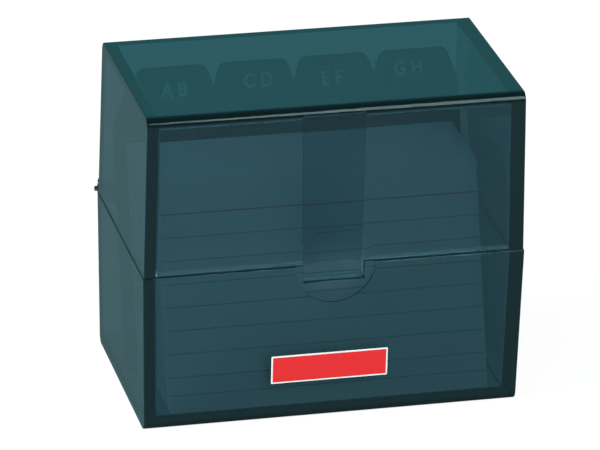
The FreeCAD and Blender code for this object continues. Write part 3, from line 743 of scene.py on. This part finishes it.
letter_ink, tree, shader = new_finish("letter_ink", Roughness=0.5)
white_ink, _ = mottled(tree, 5000.0, (0.85, 0.85, 0.85, 1), (0.9, 0.9, 0.9, 1))
tree.links.new(white_ink, shader.inputs["Base Color"])


def round_corner(before, corner, after, radius, points=7):
    """Points of an arc that touches both sides at a corner; the corner stays if the radius is 0."""
    before, corner, after = (np.array(p, float) for p in (before, corner, after))
    if not radius:
        return [tuple(corner)]
    first = (before - corner) / np.linalg.norm(before - corner)
    second = (after - corner) / np.linalg.norm(after - corner)
    half = math.acos(float(first @ second)) / 2
    centre = corner + (first + second) / np.linalg.norm(first + second) * radius / math.sin(half)
    start = corner + first * radius / math.tan(half) - centre
    stop = corner + second * radius / math.tan(half) - centre
    a, b = math.atan2(start[1], start[0]), math.atan2(stop[1], stop[0])
    b = a + (b - a + math.pi) % (2 * math.pi) - math.pi
    turn = np.linspace(a, b, points)
    return [tuple(p) for p in centre + radius * np.column_stack([np.cos(turn), np.sin(turn)])]


def divider_outline(middle):
    """Outline of a divider whose tab has its middle at a place, anticlockwise from the lower left.

    The tab's sides slant in to its top. A side whose root would lie past the sheet's edge starts on the edge,
    as high up the slant as it has come in by then; on the left a root within 1 mm of the edge starts there.
    """
    wide, tall, top = DIVIDER_HALF_WIDE, DIVIDER_TALL, DIVIDER_TALL + TAB_TALL
    left_root, right_root = middle - TAB_HALF_ROOT, middle + TAB_HALF_ROOT
    right = [((wide, tall), 0), ((right_root, tall), ROOT_CORNER)]
    if right_root > wide:
        cut_off = (right_root - wide) * TAB_TALL / (TAB_HALF_ROOT - TAB_HALF_TOP)
        right = [((wide, tall + cut_off), ROOT_CORNER)]
    left = [((left_root, tall), ROOT_CORNER), ((-wide, tall), 0)]
    if left_root < -wide + 1:
        left = [((-wide, tall), 0)]
    marks = [((-wide, 0), FOOT_CORNER), ((wide, 0), FOOT_CORNER)] + right
    marks += [((middle + TAB_HALF_TOP, top), TAB_CORNER), ((middle - TAB_HALF_TOP, top), TAB_CORNER)] + left
    spots = [spot for spot, radius in marks]
    outline = []
    for i, (spot, radius) in enumerate(marks):
        outline += round_corner(spots[i - 1], spot, spots[(i + 1) % len(spots)], radius)
    return np.array(outline)


def lean_back(local, start_y):
    """Places points (x, depth, height) of an upright sheet into the box, leaning about its front lower edge."""
    x, depth, height = local.T
    return np.column_stack([x, start_y + depth * math.cos(LEAN) + height * math.sin(LEAN),
                            SHEET_Z + height * math.cos(LEAN) - depth * math.sin(LEAN)])


# Where the letters are printed on the tab of each place: their distance from its middle, and their height.
# They are narrowed a little and lie just proud of the sheet.
LETTER_PLACES = [(0.0, 62.6), (0.7, 63.45), (-0.8, 62.7), (-1.6, 63.7)]
LETTERS_NARROWED, HALF_LETTER, LETTERS_PROUD = 0.85, 1.65, 0.015
SECTIONS = ["AB", "CD", "EF", "GH", "IJ", "KL", "MN", "OP", "QR", "ST", "UV", "WXYZ"]
for number, letters in enumerate(SECTIONS):
    name = "divider_" + letters.lower()
    middle = TAB_SHIFT + (number % TAB_PLACES - (TAB_PLACES - 1) / 2) * TAB_PITCH
    outline = divider_outline(middle)
    count = len(outline)
    local = np.concatenate([np.insert(outline, 1, depth, axis=1) for depth in (0.0, DIVIDER_THICK)])
    faces = bands_between(2, count) + [np.arange(count), count + np.arange(count)]
    start_y = DIVIDERS_Y + number * DIVIDER_PITCH
    divider = put(name + "_sheet", lean_back(local, start_y) / 1000, faces, divider_sheet)
    face_outwards(divider)
    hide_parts(name)
    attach(divider, name)
    words = bpy.data.curves.new(name + "_words", "FONT")
    words.body = letters
    words.size = 4.5
    words.offset = 0.11
    words.align_x = "CENTER"
    words.space_character = 1.65
    words.resolution_u = 4
    carrier = bpy.data.objects.new(name + "_words", words)
    bpy.context.scene.collection.objects.link(carrier)
    graph = bpy.context.evaluated_depsgraph_get()
    printed = bpy.data.meshes.new_from_object(carrier.evaluated_get(graph), depsgraph=graph)
    bpy.data.objects.remove(carrier)
    flat = corner_places(printed)
    aside, up = LETTER_PLACES[number % TAB_PLACES]
    upright = np.column_stack([LETTERS_NARROWED * flat[:, 0] + middle + aside,
                               np.full(len(flat), -LETTERS_PROUD), flat[:, 1] + (up - HALF_LETTER)])
    printed.vertices.foreach_set("co", (lean_back(upright, start_y) / 1000).ravel())
    printed.materials.clear()
    printed.materials.append(letter_ink)
    print_piece = bpy.data.objects.new(name + "_letters", printed)
    bpy.context.scene.collection.objects.link(print_piece)
    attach(print_piece, name)
